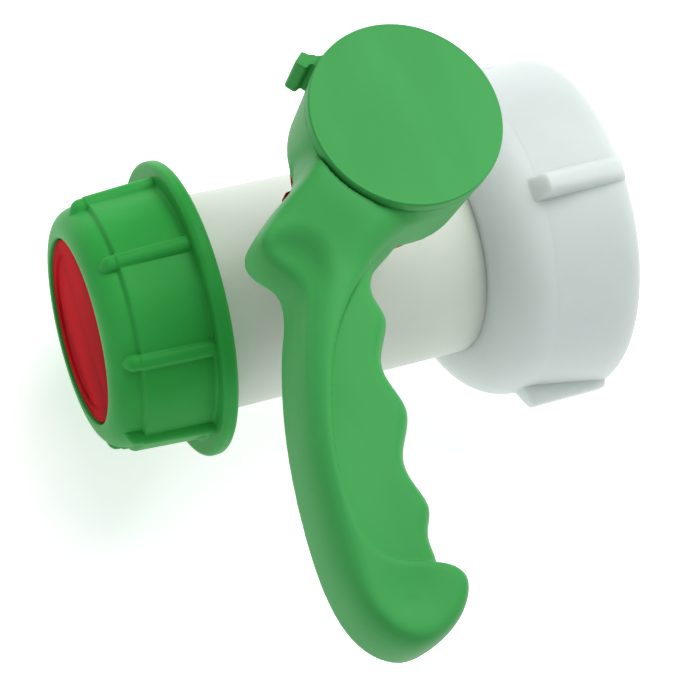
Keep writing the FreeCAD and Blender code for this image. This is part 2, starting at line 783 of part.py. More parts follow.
def make_spindle():
    """Turned and milled spindle: lower end, square through the flap, collar, two ring grooves, square top."""
    body = new_body("spindle")
    groove = S.o_ring_groove_width / 2
    floor = S.neck_bore_radius - S.o_ring_wall_gap - S.o_ring_section
    flap_top = FLAP_HUB_HALF
    profile = outline(
        sketch_on(body, "XZ_Plane", "spindle_profile"),
        [
            (0, -POCKET_FLOOR + S.trunnion_gap),
            (S.trunnion_radius, -POCKET_FLOOR + S.trunnion_gap),
            (S.trunnion_radius, flap_top),
            (S.spindle_radius, flap_top),
            (S.spindle_radius, LOWER_O_RING - groove),
            (floor, LOWER_O_RING - groove),
            (floor, LOWER_O_RING + groove),
            (S.spindle_radius, LOWER_O_RING + groove),
            (S.spindle_radius, UPPER_O_RING - groove),
            (floor, UPPER_O_RING - groove),
            (floor, UPPER_O_RING + groove),
            (S.spindle_radius, UPPER_O_RING + groove),
            (S.spindle_radius, COUNTERBORE + S.running_gap),
            (S.spindle_collar_radius, COUNTERBORE + S.running_gap),
            (S.spindle_collar_radius, COUNTERBORE + S.spindle_collar_thick),
            (S.spindle_radius, COUNTERBORE + S.spindle_collar_thick),
            (S.spindle_radius, HUB_PLATE),
            (S.spindle_radius / 2, HUB_PLATE),
            (S.spindle_radius / 2, HUB_PLATE + 0.5),
            (0, HUB_PLATE + 0.5),
        ],
    )
    turned(body, profile, "V_Axis")
    half = S.spindle_square / 2
    for name, low, high in (
        ("flap_square", -FLAP_HUB_HALF, flap_top + 0.5),
        ("lever_square", HUB_PLATE - 0.5, HUB_PLATE_TOP - 0.3),
    ):
        square = rectangle(sketch_on(body, "XY_Plane", name, lift=low), -half, -half, half, half)
        padded(body, square, high - low)
    thread = rectangle(
        sketch_on(body, "XZ_Plane", "screw_hole"),
        0,
        WASHER_TOP - S.screw_length - 2.0,
        S.screw_radius,
        HUB_PLATE_TOP + 1.0,
    )
    turned(body, thread, "V_Axis", "Groove")
    return body


def make_thrust_washer():
    """Thin plastic washer between the spindle's collar and the bush."""
    body = new_body("thrust_washer")
    low = COUNTERBORE + S.spindle_collar_thick
    section = rectangle(
        sketch_on(body, "XZ_Plane", "thrust_section"),
        S.spindle_radius,
        low,
        S.spindle_collar_radius,
        low + S.thrust_washer_thick,
    )
    turned(body, section, "V_Axis")
    return body


def make_o_ring(label, height):
    """Rubber ring in one of the spindle's grooves."""
    ring = document.addObject("Part::Torus", label)
    ring.Label = label
    middle = S.neck_bore_radius - S.o_ring_wall_gap - S.o_ring_section / 2
    ring.setExpression("Radius1", middle.text)
    ring.setExpression("Radius2", (S.o_ring_section / 2).text)
    place(ring)
    ring.setExpression(".Placement.Base.z", height.text)
    return ring


def make_flap():
    """The flap: a crowned disc across the bore with a hub for the spindle and a groove for its seal."""
    body = new_body("flap")
    profile = outline(
        sketch_on(body, "XZ_Plane", "flap_profile"),
        [
            (-S.flap_half_thick - S.flap_crown, 0),
            (S.flap_half_thick + S.flap_crown, 0),
            (S.flap_half_thick + S.flap_crown * 0.45, FLAP_RADIUS * 0.62),
            (S.flap_half_thick, FLAP_RADIUS),
            (S.seal_groove_half, FLAP_RADIUS),
            (S.seal_groove_half, SEAL_GROOVE_RADIUS),
            (-S.seal_groove_half, SEAL_GROOVE_RADIUS),
            (-S.seal_groove_half, FLAP_RADIUS),
            (-S.flap_half_thick, FLAP_RADIUS),
            (-S.flap_half_thick - S.flap_crown * 0.45, FLAP_RADIUS * 0.62),
        ],
    )
    turned(body, profile, "H_Axis")
    for name, end, under in (("eye_above", FLAP_HUB_HALF, False), ("eye_below", -FLAP_HUB_HALF, True)):
        eye = circle(sketch_on(body, "XY_Plane", name, lift=end), 0, 0, S.flap_hub_radius)
        pocketed(body, eye, BORE_RADIUS, reverse=not under)
    hub = circle(sketch_on(body, "XY_Plane", "flap_hub"), 0, 0, S.flap_hub_radius)
    padded(body, hub, FLAP_HUB_HALF * 2, middle=True)
    half = (S.spindle_square + S.square_gap) / 2
    hole = rectangle(sketch_on(body, "XY_Plane", "flap_square_hole"), -half, -half, half, half)
    pocketed(body, hole, BORE_RADIUS * 2.2, middle=True)
    return body


def seal_cylinder(name, radius, half, upright=False):
    """A cylinder about the tube's axis, or the stem's where upright, reaching half so far on either side."""
    shape = document.addObject("Part::Cylinder", name)
    shape.setExpression("Radius", as_size(radius).text)
    shape.setExpression("Height", (as_size(half) * 2).text)
    if not upright:
        shape.Placement = FreeCAD.Placement(Vector(), FreeCAD.Rotation(Vector(0, 1, 0), 90))
    shape.setExpression(f".Placement.Base.{'z' if upright else 'x'}", (-as_size(half)).text)
    return shape


def cut(name, base, tool):
    """One shape with another taken out of it."""
    result = document.addObject("Part::Cut", name)
    result.Base, result.Tool = base, tool
    return result


def make_flap_seal():
    """Rubber lip round the flap's edge with a round eye at each end of the spindle, ground to one sphere."""
    ball = document.addObject("Part::Sphere", "seal_ball")
    ball.setExpression("Radius", SEAL_RADIUS.text)
    band = seal_cylinder("seal_band", BORE_RADIUS, S.seal_half_width)
    core = seal_cylinder("seal_core", FLAP_RADIUS, BORE_RADIUS)
    tongue = seal_cylinder("seal_tongue", BORE_RADIUS, S.seal_groove_half)
    heart = seal_cylinder("seal_heart", SEAL_GROOVE_RADIUS, BORE_RADIUS)
    eyes = seal_cylinder("seal_eyes", S.flap_hub_radius, BORE_RADIUS, upright=True)
    whole = document.addObject("Part::MultiFuse", "seal_whole")
    whole.Shapes = [cut("seal_rim", band, core), cut("seal_key", tongue, heart), eyes]
    ground = document.addObject("Part::MultiCommon", "seal_ground")
    ground.Shapes = [whole, ball]
    hub = seal_cylinder("seal_hub_space", S.flap_hub_radius, FLAP_HUB_HALF, upright=True)
    shaft = seal_cylinder("seal_shaft_space", S.spindle_radius + S.running_gap, BORE_RADIUS, upright=True)
    seal = cut("flap_seal", cut("seal_hollow", ground, hub), shaft)
    place(seal)
    return seal


def cylinder(radius, low, high):
    """A plain cylinder about the stem."""
    return Part.makeCylinder(radius, high - low, Vector(0, 0, low))


def rounded_plate(points, low, high, radius):
    """A plate of a smooth closed outline through points, its upper and lower edges rounded."""
    curve = Part.BSplineCurve()
    curve.interpolate([Vector(x, y, 0) for x, y in points], PeriodicFlag=True)
    face = Part.Face(Part.Wire([curve.toShape()]))
    face.translate(Vector(0, 0, low))
    solid = face.extrude(Vector(0, 0, high - low))
    rims = [edge for edge in solid.Edges if edge.BoundBox.ZLength < FLAT_EDGE]
    return solid.makeFillet(radius, rims)


def hub_post():
    """The fin on the hub: straight on one side, coved into the hub on the other, with a bead at its end."""
    reach, half = POST_REACH.value, S.post_width.value / 2
    seat = S.hub_base_radius.value
    inner = HUB_CAVITY_RADIUS.value + S.hub_wall.value / 4
    angle = math.radians(-S.post_cove_angle.value)
    tip, foot = Vector(reach, -half, 0), Vector(seat * math.cos(angle), seat * math.sin(angle), 0)
    way = (foot - tip).normalize()
    sag = Vector(way.y, -way.x, 0) * S.post_cove_sag.value
    cove = Part.Arc(tip, (tip + foot) * 0.5 + sag, foot)
    bead, web = reach - S.post_bead.value, half - S.post_recess.value
    corners = [
        foot,
        Vector(inner * math.cos(angle), inner * math.sin(angle), 0),
        Vector(inner, web, 0),
        Vector(bead, web, 0),
        Vector(bead, half, 0),
        Vector(reach, half, 0),
        tip,
    ]
    sides = [Part.makeLine(a, b) for a, b in zip(corners, corners[1:])]
    face = Part.Face(Part.Wire([cove.toShape(), *sides]))
    face.translate(Vector(0, 0, POST_BASE.value))
    fin = face.extrude(Vector(0, 0, S.post_height.value))
    outer = [e for e in fin.Edges if e.BoundBox.XMin > reach - FLAT_EDGE or is_upright(e, bead, half)]
    fin = fin.makeFillet(S.post_round.value, outer)
    fin.rotate(Vector(), Vector(0, 0, 1), S.post_azimuth.value)
    return fin


def is_upright(edge, x, y):
    """Whether an edge is the upright one over a point of the plan."""
    box = edge.BoundBox
    return box.ZLength > 1 and math.hypot(box.XMin - x, box.YMin - y) < FLAT_EDGE


def stop_key():
    """The key inside the hub that meets the ends of the stop ring's wall."""
    key = Part.makeCylinder(
        HUB_CAVITY_RADIUS.value + S.hub_wall.value / 4,
        HUB_PLATE.value - HUB_BASE.value,
        Vector(0, 0, HUB_BASE.value + S.stop_end_gap.value),
        Vector(0, 0, 1),
        S.stop_key_angle.value,
    )
    key = key.cut(cylinder(STOP_WALL_INNER.value, HUB_BASE.value, LID_TOP.value))
    key.rotate(Vector(), Vector(0, 0, 1), S.stop_key_lead.value - S.stop_key_angle.value / 2)
    return key


def lever_hub():
    """The hub: a slightly flared drum over the neck, its plate with a square hole for the spindle."""
    drum = Part.makeCone(
        S.hub_base_radius.value,
        HUB_TOP_RADIUS.value,
        S.hub_height.value,
        Vector(0, 0, HUB_BASE.value),
    )
    drum = drum.cut(cylinder(HUB_CAVITY_RADIUS.value, NECK_SHOULDER.value, HUB_PLATE.value))
    drum = drum.cut(cylinder(LID_RECESS_RADIUS.value, HUB_PLATE_TOP.value, LID_TOP.value))
    side = S.spindle_square.value + S.square_gap.value
    corner = Vector(-side / 2, -side / 2, NECK_SHOULDER.value)
    return drum.cut(Part.makeBox(side, side, LID_TOP.value, corner))


def spread(points):
    """Points drawn for the usual length of grip, spread along it where they are past the thumb beak."""
    share = S.grip_length.value / GRIP_DRAWN
    return [(x, y * share if y < -GRIP_ROOT_END else y) for x, y in points]


def lever_spine():
    """The raised part of the grip: broad root with a thumb beak and its hollow, narrow spine and end knob."""
    tip_x, tip_y = -S.beak_x.value, -S.beak_y.value
    root = [(-27.2, -5.6), (-33.6, -10.4)]
    beak = [(tip_x + 2.5, tip_y + 5.2), (tip_x, tip_y), (tip_x + 2.1, tip_y - 4.6)]
    waist = [(-37.0, -28.6), (-36.4, -33.0), (-38.9, -40.2), (-42.2, -49.4), (-45.2, -61.0)]
    back = [(-47.3, -74.0), (-48.3, -88.0), (-47.5, -101.0), (-43.6, -110.5)]
    knob = [(-36.2, -114.9), (-28.2, -113.4), (-22.0, -107.8), (-20.8, -101.9), (-24.6, -98.7)]
    bend = [(-31.0, -99.2), (-36.8, -97.0), (-40.8, -91.0), (-41.9, -82.0)]
    crease = [(-40.6, -69.0), (-36.8, -56.2), (-30.6, -43.6), (-22.6, -34.6)]
    inside_hub = [(-12.6, -27.0), (-2.0, -22.6), (6.0, -17.0), (4.0, -6.0), (-6.0, 4.0), (-15.0, 7.5)]
    start = [(-S.hub_base_radius.value, 3.0)]
    line = start + root + beak + spread(waist + back + knob + bend + crease) + inside_hub
    plate = rounded_plate(line, GRIP_BASE.value, GRIP_TOP.value, S.grip_round.value)
    height = GRIP_TOP.value + S.thumb_radius.value - S.thumb_depth.value
    thumb = Part.makeSphere(S.thumb_radius.value, Vector(-S.thumb_x.value, -S.thumb_y.value, height))
    return plate.cut(thumb)


def lever_web():
    """The lower part of the grip, which the fingers pull: a leaning edge with a wave for each finger."""
    quarter = S.scallop_pitch.value / 4
    start = S.scallop_first_y.value - quarter
    count = int((S.grip_length.value - WEB_END - start) / quarter) + 1
    fingers = []
    for index in range(count):
        past = quarter * (index - 1)
        wave = S.scallop_depth.value * math.cos(2 * math.pi * past / S.scallop_pitch.value)
        edge = -(S.web_root_x.value + S.web_lean.value * past) + wave
        fingers.append((edge, -(start + quarter * index)))
    end = [(-28.0, -103.6), (-35.0, -104.2), (-41.4, -98.5)]
    behind = spread(end + [(-44.2, -88.0), (-43.8, -75.0), (-41.6, -61.0)])
    root = [(-37.6, -48.0), (-33.0, -36.0), (-26.0, -24.0)]
    hub = [(-15.0, -13.0), (-4.0, -12.0), (-4.0, -22.0), (-13.0, -28.6)]
    return rounded_plate(fingers + behind + root + hub, WEB_BASE.value, WEB_TOP.value, S.web_round.value)


def make_lever():
    """The green moulding: hub over the neck, grip of spine and finger web, and the fin on the hub."""
    middle_of_wall = S.hub_base_radius.value - S.hub_wall.value / 2
    inside = cylinder(middle_of_wall, NECK_SHOULDER.value, LID_TOP.value)
    grip = [part.cut(inside) for part in (lever_spine(), lever_web())]
    piece = document.addObject("Part::Feature", "lever")
    piece.Label = "lever"
    piece.Shape = lever_hub().fuse([stop_key(), *grip, hub_post()])
    place(piece)
    return piece


def make_lid():
    """Flat round lid pressed into the hub over the screw."""
    body = new_body("lid")
    plug = LID_RECESS_RADIUS - S.lid_plug_gap
    low = HUB_TOP
    profile = outline(
        sketch_on(body, "XZ_Plane", "lid_profile"),
        [
            (0, low),
            (plug - S.lid_plug_wall, low),
            (plug - S.lid_plug_wall, low - S.lid_plug_depth),
            (plug, low - S.lid_plug_depth),
            (plug, low),
            (LID_RADIUS, low),
            (LID_RADIUS, LID_TOP - S.lid_bevel),
            (LID_RADIUS - S.lid_bevel, LID_TOP),
            (0, LID_TOP),
        ],
    )
    turned(body, profile, "V_Axis")
    return body


def make_lever_screw():
    """Socket screw that holds the lever down on the spindle."""
    body = new_body("lever_screw")
    top = WASHER_TOP + S.screw_head_height
    profile = outline(
        sketch_on(body, "XZ_Plane", "screw_profile"),
        [
            (0, WASHER_TOP - S.screw_length),
            (S.screw_radius - 0.6, WASHER_TOP - S.screw_length),
            (S.screw_radius, WASHER_TOP - S.screw_length + 0.6),
            (S.screw_radius, WASHER_TOP),
            (S.screw_head_radius, WASHER_TOP),
            (S.screw_head_radius, top - 0.5),
            (S.screw_head_radius - 0.5, top),
            (0, top),
        ],
    )
    turned(body, profile, "V_Axis")
    socket = sketch_on(body, "XY_Plane", "screw_socket", lift=top)
    corner = S.screw_socket_across / math.sqrt(3)
    ring = [
        (corner * round(math.cos(math.radians(60 * i)), 9), corner * round(math.sin(math.radians(60 * i)), 9))
        for i in range(6)
    ]
    outline(socket, ring)
    pocketed(body, socket, S.screw_socket_depth)
    return body


def make_screw_washer():
    """Steel washer under the screw's head."""
    body = new_body("screw_washer")
    section = rectangle(
        sketch_on(body, "XZ_Plane", "washer_section"),
        S.screw_radius + 0.2,
        HUB_PLATE_TOP,
        S.washer_radius,
        WASHER_TOP,
    )
    turned(body, section, "V_Axis")
    return body


def make_cap_nut():
    """Screwed cap ring: flange, panels between half-round ribs, blunt nose, open front and inner thread."""
    body = new_body("cap_nut")
    profile = outline(
        sketch_on(body, "XZ_Plane", "cap_profile"),
        [
            (-S.cap_back, CAP_INNER_RADIUS),
            (-S.cap_back, CAP_FLANGE_RADIUS),
            (-CAP_FLANGE_FRONT, CAP_FLANGE_RADIUS),
            (-CAP_FLANGE_FRONT, CAP_PANEL_RADIUS),
            (-S.cap_nose_start, CAP_PANEL_RADIUS),
            (-S.cap_nose_start - S.cap_nose_slope, CAP_NOSE_RADIUS),
            (-S.cap_front, CAP_LAND_RADIUS, S.cap_nose_round, 1),
            (-S.cap_front, CAP_LIP_RADIUS),
            (-CAP_LIP_BACK, CAP_LIP_RADIUS),
            (-CAP_LIP_BACK, CAP_INNER_RADIUS),
        ],
    )
    shell = turned(body, profile, "H_Axis")
    flange = ring_edge(-S.cap_back.value, CAP_FLANGE_RADIUS.value)
    front = ring_edge(-CAP_FLANGE_FRONT.value, CAP_FLANGE_RADIUS.value)
    dressed(body, "Fillet", shell, S.cap_edge_round, lambda edge: flange(edge) or front(edge))
    axis = CAP_PANEL_RADIUS - S.rib_sink
    rib = outline(
        sketch_on(body, "XZ_Plane", "cap_rib", turn=S.rib_lead - 90),
        [
            (-S.cap_back - S.cap_flange_thick / 2, axis),
            (-S.cap_back - S.cap_flange_thick / 2, axis + S.rib_radius),
            (-S.rib_front, axis + S.rib_radius),
            (-S.rib_front - S.rib_radius, axis, S.rib_radius, 1),
        ],
    )
    rod = turned(body, rib, "Edge1")
    around(body, [rod], "X_Axis", S.rib_count)
    document.recompute()
    tooth = thread_section(
        sketch_on(body, "XZ_Plane", "cap_thread"),
        CAP_INNER_RADIUS,
        CAP_CREST_RADIUS,
        -SPOUT_END + S.thread_lead_in + S.thread_pitch / 2,
        inward=True,
    )
    body.Tip = helix(body, tooth, S.cap_thread_turns)
    return body


def make_cap_disc():
    """Red disc that shows in the cap's open front, with a flange behind the lip and a skirt in the bore."""
    body = new_body("cap_disc")
    skirt = BORE_RADIUS - S.disc_gap
    window = CAP_LIP_RADIUS - S.disc_gap
    profile = outline(
        sketch_on(body, "XZ_Plane", "disc_profile"),
        [
            (-DISC_FACE + S.disc_dish_depth, 0),
            (-DISC_BACK, 0),
            (-DISC_BACK, skirt - S.disc_skirt_wall),
            (-DISC_BACK + S.disc_skirt_depth, skirt - S.disc_skirt_wall),
            (-DISC_BACK + S.disc_skirt_depth, skirt - 0.6),
            (-DISC_BACK + S.disc_skirt_depth - 0.6, skirt),
            (-DISC_BACK, skirt),
            (-DISC_BACK, DISC_FLANGE_RADIUS),
            (-CAP_LIP_BACK, DISC_FLANGE_RADIUS),
            (-CAP_LIP_BACK, window),
            (-DISC_FACE + 0.4, window),
            (-DISC_FACE, window - 0.4),
            (-DISC_FACE, DISH_RADIUS + 0.8),
            (-DISC_FACE + S.disc_dish_depth, DISH_RADIUS),
        ],
    )
    turned(body, profile, "H_Axis")
    return body


def make_cap_gasket():
    """Flat rubber ring between the disc's flange and the spout's end."""
    body = new_body("cap_gasket")
    section = rectangle(
        sketch_on(body, "XZ_Plane", "cap_gasket_section"),
        -DISC_BACK,
        BORE_RADIUS - S.disc_gap + 0.1,
        -DISC_BACK + S.cap_gasket_thick,
        DISC_FLANGE_RADIUS,
    )
    turned(body, section, "H_Axis")
    return body


MAKERS = [
    make_valve_body,
    make_retaining_ring,
    make_inlet_gasket,
    make_lower_bush,
    make_stem_bush,
    make_stop_ring,
    make_coupling_nut,
    make_spindle,
    make_thrust_washer,
    lambda: make_o_ring("lower_o_ring", LOWER_O_RING),
    lambda: make_o_ring("upper_o_ring", UPPER_O_RING),
    make_flap,
    make_flap_seal,
    make_lever,
    make_lid,
    make_lever_screw,
    make_screw_washer,
    make_cap_nut,
    make_cap_disc,
    make_cap_gasket,
]


def main():
    """Builds every piece, checks it and writes it to its own file."""
    pieces = [maker() for maker in MAKERS]
    document.recompute()
    for item in document.Objects:
        if "Invalid" in item.State or "Error" in item.State:
            raise RuntimeError(f"{item.Name} did not build: {item.State}")
    os.makedirs("parts", exist_ok=True)
    for piece in pieces:
        shape = piece.Shape
        if shape.isNull() or not shape.isValid() or len(shape.Solids) != 1:
            raise RuntimeError(f"{piece.Label} is not one sound solid")
        shape.exportStep(f"parts/{piece.Label}.step")
        print(f"{piece.Label}: {shape.Volume / 1000:.2f} cm3, {len(shape.Faces)} faces")


main()
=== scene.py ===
# %% [markdown]
# # Outlet valve of an intermediate bulk container
# The valve is moulded from polyolefin plastics: a translucent tube and coupling nut, a green lever and screwed
# cap, and a red disc. The CAD frame gives every size. This script dresses that frame in the soft radii, the
# fine surface and the colours of moulded plastic, and photographs it from above.

# %% Load the frame
import json

import bpy
import bmesh
import numpy as np
from mathutils import Matrix, Vector


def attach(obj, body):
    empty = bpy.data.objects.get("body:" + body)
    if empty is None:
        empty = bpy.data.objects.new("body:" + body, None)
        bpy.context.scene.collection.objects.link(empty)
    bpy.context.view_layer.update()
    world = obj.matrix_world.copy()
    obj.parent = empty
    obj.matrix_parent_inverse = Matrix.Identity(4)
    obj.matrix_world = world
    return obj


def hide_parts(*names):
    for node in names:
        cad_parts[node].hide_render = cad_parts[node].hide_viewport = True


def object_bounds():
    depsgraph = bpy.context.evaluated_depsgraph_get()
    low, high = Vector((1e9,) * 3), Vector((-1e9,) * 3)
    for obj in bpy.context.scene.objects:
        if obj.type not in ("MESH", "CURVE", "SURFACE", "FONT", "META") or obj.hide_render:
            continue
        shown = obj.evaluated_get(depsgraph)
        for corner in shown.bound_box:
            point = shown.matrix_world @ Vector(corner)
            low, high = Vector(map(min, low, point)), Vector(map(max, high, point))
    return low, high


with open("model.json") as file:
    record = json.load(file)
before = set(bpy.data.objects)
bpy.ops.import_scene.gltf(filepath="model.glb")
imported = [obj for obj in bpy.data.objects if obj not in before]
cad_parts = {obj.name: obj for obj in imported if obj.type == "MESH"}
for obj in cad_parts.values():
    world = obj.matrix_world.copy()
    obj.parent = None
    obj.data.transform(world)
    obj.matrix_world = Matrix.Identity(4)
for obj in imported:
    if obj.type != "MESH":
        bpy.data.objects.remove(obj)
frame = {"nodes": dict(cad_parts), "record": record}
cad_box = [list(corner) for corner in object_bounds()]
nodes = frame["nodes"]
print("CAD box in metres:", [[round(v, 4) for v in corner] for corner in cad_box])

# %% [markdown]
# ## Camera
# The photograph looks down on the valve from about 64 degrees above, with a long lens. The camera's place was
# found by fitting the contours of the tube, the cap, the lid and the nut's rim, so the matrix below holds its
# axes: right, up and backwards. The focal length is in pixels of a picture 680 pixels wide, and a sensor of
# 36 mm turns it into a lens.

# %% Camera
PICTURE_WIDTH = 680
FOCAL_PIXELS = 1686.91
RIGHT = Vector((0.91115, -0.32171, 0.25750))
UP = Vector((0.22208, 0.90974, 0.35078))
EYE = Vector((-0.211324, -0.142593, 0.422757))

camera_data = bpy.data.cameras.new("camera")
camera_data.sensor_width = 36.0
camera_data.lens = FOCAL_PIXELS * camera_data.sensor_width / PICTURE_WIDTH
camera = bpy.data.objects.new("camera", camera_data)
back = RIGHT.cross(UP).normalized()
camera.matrix_world = Matrix.Translation(EYE) @ Matrix((RIGHT, UP, back)).transposed().to_4x4()
bpy.context.scene.collection.objects.link(camera)
bpy.context.scene.camera = camera
print(f"lens {camera_data.lens:.2f} mm")

# %% [markdown]
# ## Soft studio
# A pale floor and a white room give the even, shadowless look of a product photograph. One broad light stands
# above and behind, as a window would, and a second fills from the front.

# %% Floor and lights
STEM_X = -0.053
floor_z = cad_box[0][2]


def add_area_light(name, place, target, size, power, colour=(1.0, 1.0, 1.0)):
    """A square area light at a place, turned to a target."""
    data = bpy.data.lights.new(name, "AREA")
    data.shape = "SQUARE"
    data.size = size
    data.energy = power
    data.color = colour
    light = bpy.data.objects.new(name, data)
    light.location = place
    light.rotation_mode = "QUATERNION"
    light.rotation_quaternion = (Vector(place) - Vector(target)).to_track_quat("Z", "Y")
    bpy.context.scene.collection.objects.link(light)
    return light


AIM = (STEM_X, -0.03, 0.03)
add_area_light("window", (0.34, 0.42, 1.1), AIM, 0.95, 12.8)
add_area_light("fill", (0.7, -0.85, 0.8), AIM, 0.8, 1.0)
world = bpy.data.worlds.new("room")
world.use_nodes = True
world.node_tree.nodes["Background"].inputs["Color"].default_value = (0.96, 0.98, 1.0, 1.0)
world.node_tree.nodes["Background"].inputs["Strength"].default_value = 0.45
bpy.context.scene.world = world
bpy.context.scene.view_settings.view_transform = "Standard"

# %% [markdown]
# ## A class for surface patterns
# Patterns such as the faint mottling of moulded plastic are sums and products of noise. Written as ordinary
# expressions they stay readable, so a small class wraps a socket, and each operator adds one Math node.


# %% Pattern maths
class Pattern:
    """A number that varies over a surface. Each operator adds the Math node of the same meaning."""

    def __init__(self, finish, socket):
        self.finish = finish
        self.socket = socket

    def _maths(self, operation, first, second):
        node = self.finish.node("ShaderNodeMath", {"operation": operation}, {0: first, 1: second})
        return Pattern(self.finish, node.outputs[0])

    def __add__(self, other):
        return self._maths("ADD", self, other)

    def __radd__(self, other):
        return self._maths("ADD", other, self)

    def __sub__(self, other):
        return self._maths("SUBTRACT", self, other)

    def __rsub__(self, other):
        return self._maths("SUBTRACT", other, self)

    def __mul__(self, other):
        return self._maths("MULTIPLY", self, other)

    def __rmul__(self, other):
        return self._maths("MULTIPLY", other, self)

    def __truediv__(self, other):
        return self._maths("DIVIDE", self, other)

    def __pow__(self, other):
        return self._maths("POWER", self, other)


class Finish:
    """One material: its nodes, and short calls that add patterns to it."""

    def __init__(self, name):
        self.material = bpy.data.materials.new(name)
        self.material.use_nodes = True
        self.tree = self.material.node_tree
        self.shader = self.tree.nodes["Principled BSDF"]
        self.place = self.node("ShaderNodeTexCoord").outputs["Object"]

    def node(self, kind, settings=None, inputs=None):
        """Adds a node: its settings first, a ramp's stops among them, then its sockets' values or links."""
        node = self.tree.nodes.new(kind)
        for key, value in (settings or {}).items():
            if key == "stops":
                self._stops(node, value)
            else:
                setattr(node, key, value)
        for key, value in (inputs or {}).items():
            self.feed(node.inputs[key], value)
        return node

    @staticmethod
    def _stops(node, stops):
        ramp = node.color_ramp
        while len(ramp.elements) < len(stops):
            ramp.elements.new(1.0)
        for element, (position, colour) in zip(ramp.elements, stops):
            element.position = position
            element.color = colour

    def feed(self, socket, value):
        """Gives a socket a number, a colour, another socket or a pattern."""
        if isinstance(value, Pattern):
            value = value.socket
        if isinstance(value, bpy.types.NodeSocket):
            self.tree.links.new(value, socket)
        else:
            socket.default_value = value

    def noise(self, per_metre, detail=3.0, stretch=(1.0, 1.0, 1.0)):
        """Soft noise around 0.5, with so many blobs a metre, stretched along the axes."""
        place = self.node("ShaderNodeMapping", inputs={"Vector": self.place, "Scale": stretch}).outputs[0]
        settings = {"Vector": place, "Scale": per_metre, "Detail": detail}
        return Pattern(self, self.node("ShaderNodeTexNoise", inputs=settings).outputs[0])

    def mix(self, factor, first, second):
        """A colour between two, by a factor."""
        node = self.node("ShaderNodeMix", {"data_type": "RGBA"}, {0: factor, 6: first, 7: second})
        return node.outputs[2]

    def band(self, pattern, low, high):
        """0 below one value of a pattern and 1 above another, with a smooth rise between."""
        node = self.node(
            "ShaderNodeMapRange",
            {"interpolation_type": "SMOOTHSTEP"},
            {"Value": pattern, "From Min": low, "From Max": high},
        )
        return Pattern(self, node.outputs[0])

    def relief(self, height, depth, strength=1.0):
        """Bump from a pattern of heights from 0 to 1, so many metres deep."""
        node = self.node(
            "ShaderNodeBump", inputs={"Strength": strength, "Distance": depth, "Height": height}
        )
        self.feed(self.shader.inputs["Normal"], node.outputs[0])

    def set(self, **values):
        """Sets the shader's own sockets, named with _ for a space."""
        for key, value in values.items():
            self.feed(self.shader.inputs[key.replace("_", " ")], value)
        return self


def srgb(red, green, blue):
    """A linear colour from the three 0 to 255 numbers of a screen colour."""
    c = np.array([red, green, blue]) / 255.0
    linear = np.where(c <= 0.04045, c / 12.92, ((c + 0.055) / 1.055) ** 2.4)
    return (*linear.tolist(), 1.0)


# %% [markdown]
# ## Moulded plastics
# Injection-moulded polyolefin is never one flat colour. The pigment flows in faint streaks, the tool's surface
# prints a fine grain, and handling polishes some places. Each plastic gets slow mottling in its colour, a
# change of gloss, and a shallow bump made of a fine grain and a slow waviness.


# %% Plastic finishes
def moulded(name, light, dark, gloss=0.42, grain=0.00004, flow=(1.0, 1.0, 1.0), **shader):
    """A moulded plastic: two near colours mottled by streaks, uneven gloss, and grain with slow waves."""
    finish = Finish(name)
    streaks = finish.noise(34.0, 4.0, flow)
    cloud = finish.noise(11.0, 2.0)
    mottle = finish.band(streaks * 0.55 + cloud * 0.45, 0.36, 0.64)
    fine = finish.noise(2600.0, 2.0)
    wave = finish.noise(70.0, 2.0)
    finish.set(
        Base_Color=finish.mix(mottle, dark, light),
        Roughness=gloss - 0.05 + 0.1 * cloud + 0.04 * fine,
        **shader,
    )
    finish.relief(0.5 * fine + 0.5 * wave, grain)
    return finish


MATT = {"Specular_IOR_Level": 0.2, "IOR": 1.3}
CLOUDY = {
    "Subsurface_Weight": 0.6,
    "Subsurface_Scale": 0.008,
    "Subsurface_Radius": (1.0, 1.0, 0.9),
    "Specular_IOR_Level": 0.3,
}
green = moulded("green_plastic", srgb(69, 163, 85), srgb(60, 153, 76), flow=(1.0, 0.35, 1.0), **MATT)
cap_green = moulded("cap_plastic", srgb(61, 170, 80), srgb(43, 150, 61), flow=(0.4, 1.0, 1.0), **MATT)
red = moulded("red_plastic", srgb(194, 14, 26), srgb(140, 4, 14), gloss=0.5, flow=(1.0, 0.3, 2.2))
red.set(Specular_IOR_Level=0.05, IOR=1.15)
natural = moulded("body_plastic", srgb(212, 219, 208), srgb(205, 212, 201), gloss=0.45, **CLOUDY)
white = moulded("nut_plastic", srgb(214, 221, 219), srgb(208, 216, 214), gloss=0.45, **CLOUDY)
flap_white = moulded("flap_plastic", srgb(205, 208, 203), srgb(196, 200, 194), gloss=0.45)
spindle_grey = moulded("spindle_plastic", srgb(120, 124, 126), srgb(108, 112, 114), gloss=0.4)
bearing_white = moulded("bearing_plastic", srgb(226, 226, 218), srgb(216, 216, 206), gloss=0.35)
rubber = moulded("black_rubber", srgb(34, 34, 35), srgb(26, 26, 27), gloss=0.62, grain=0.00006)
steel = Finish("screw_steel")
brushed = steel.noise(900.0, 3.0, (1.0, 1.0, 0.2))
steel.set(
    Base_Color=steel.mix(brushed, srgb(150, 152, 155), srgb(186, 188, 190)),
    Metallic=1.0,
    Roughness=0.24 + 0.16 * brushed,
)
steel.relief(brushed, 0.00002)

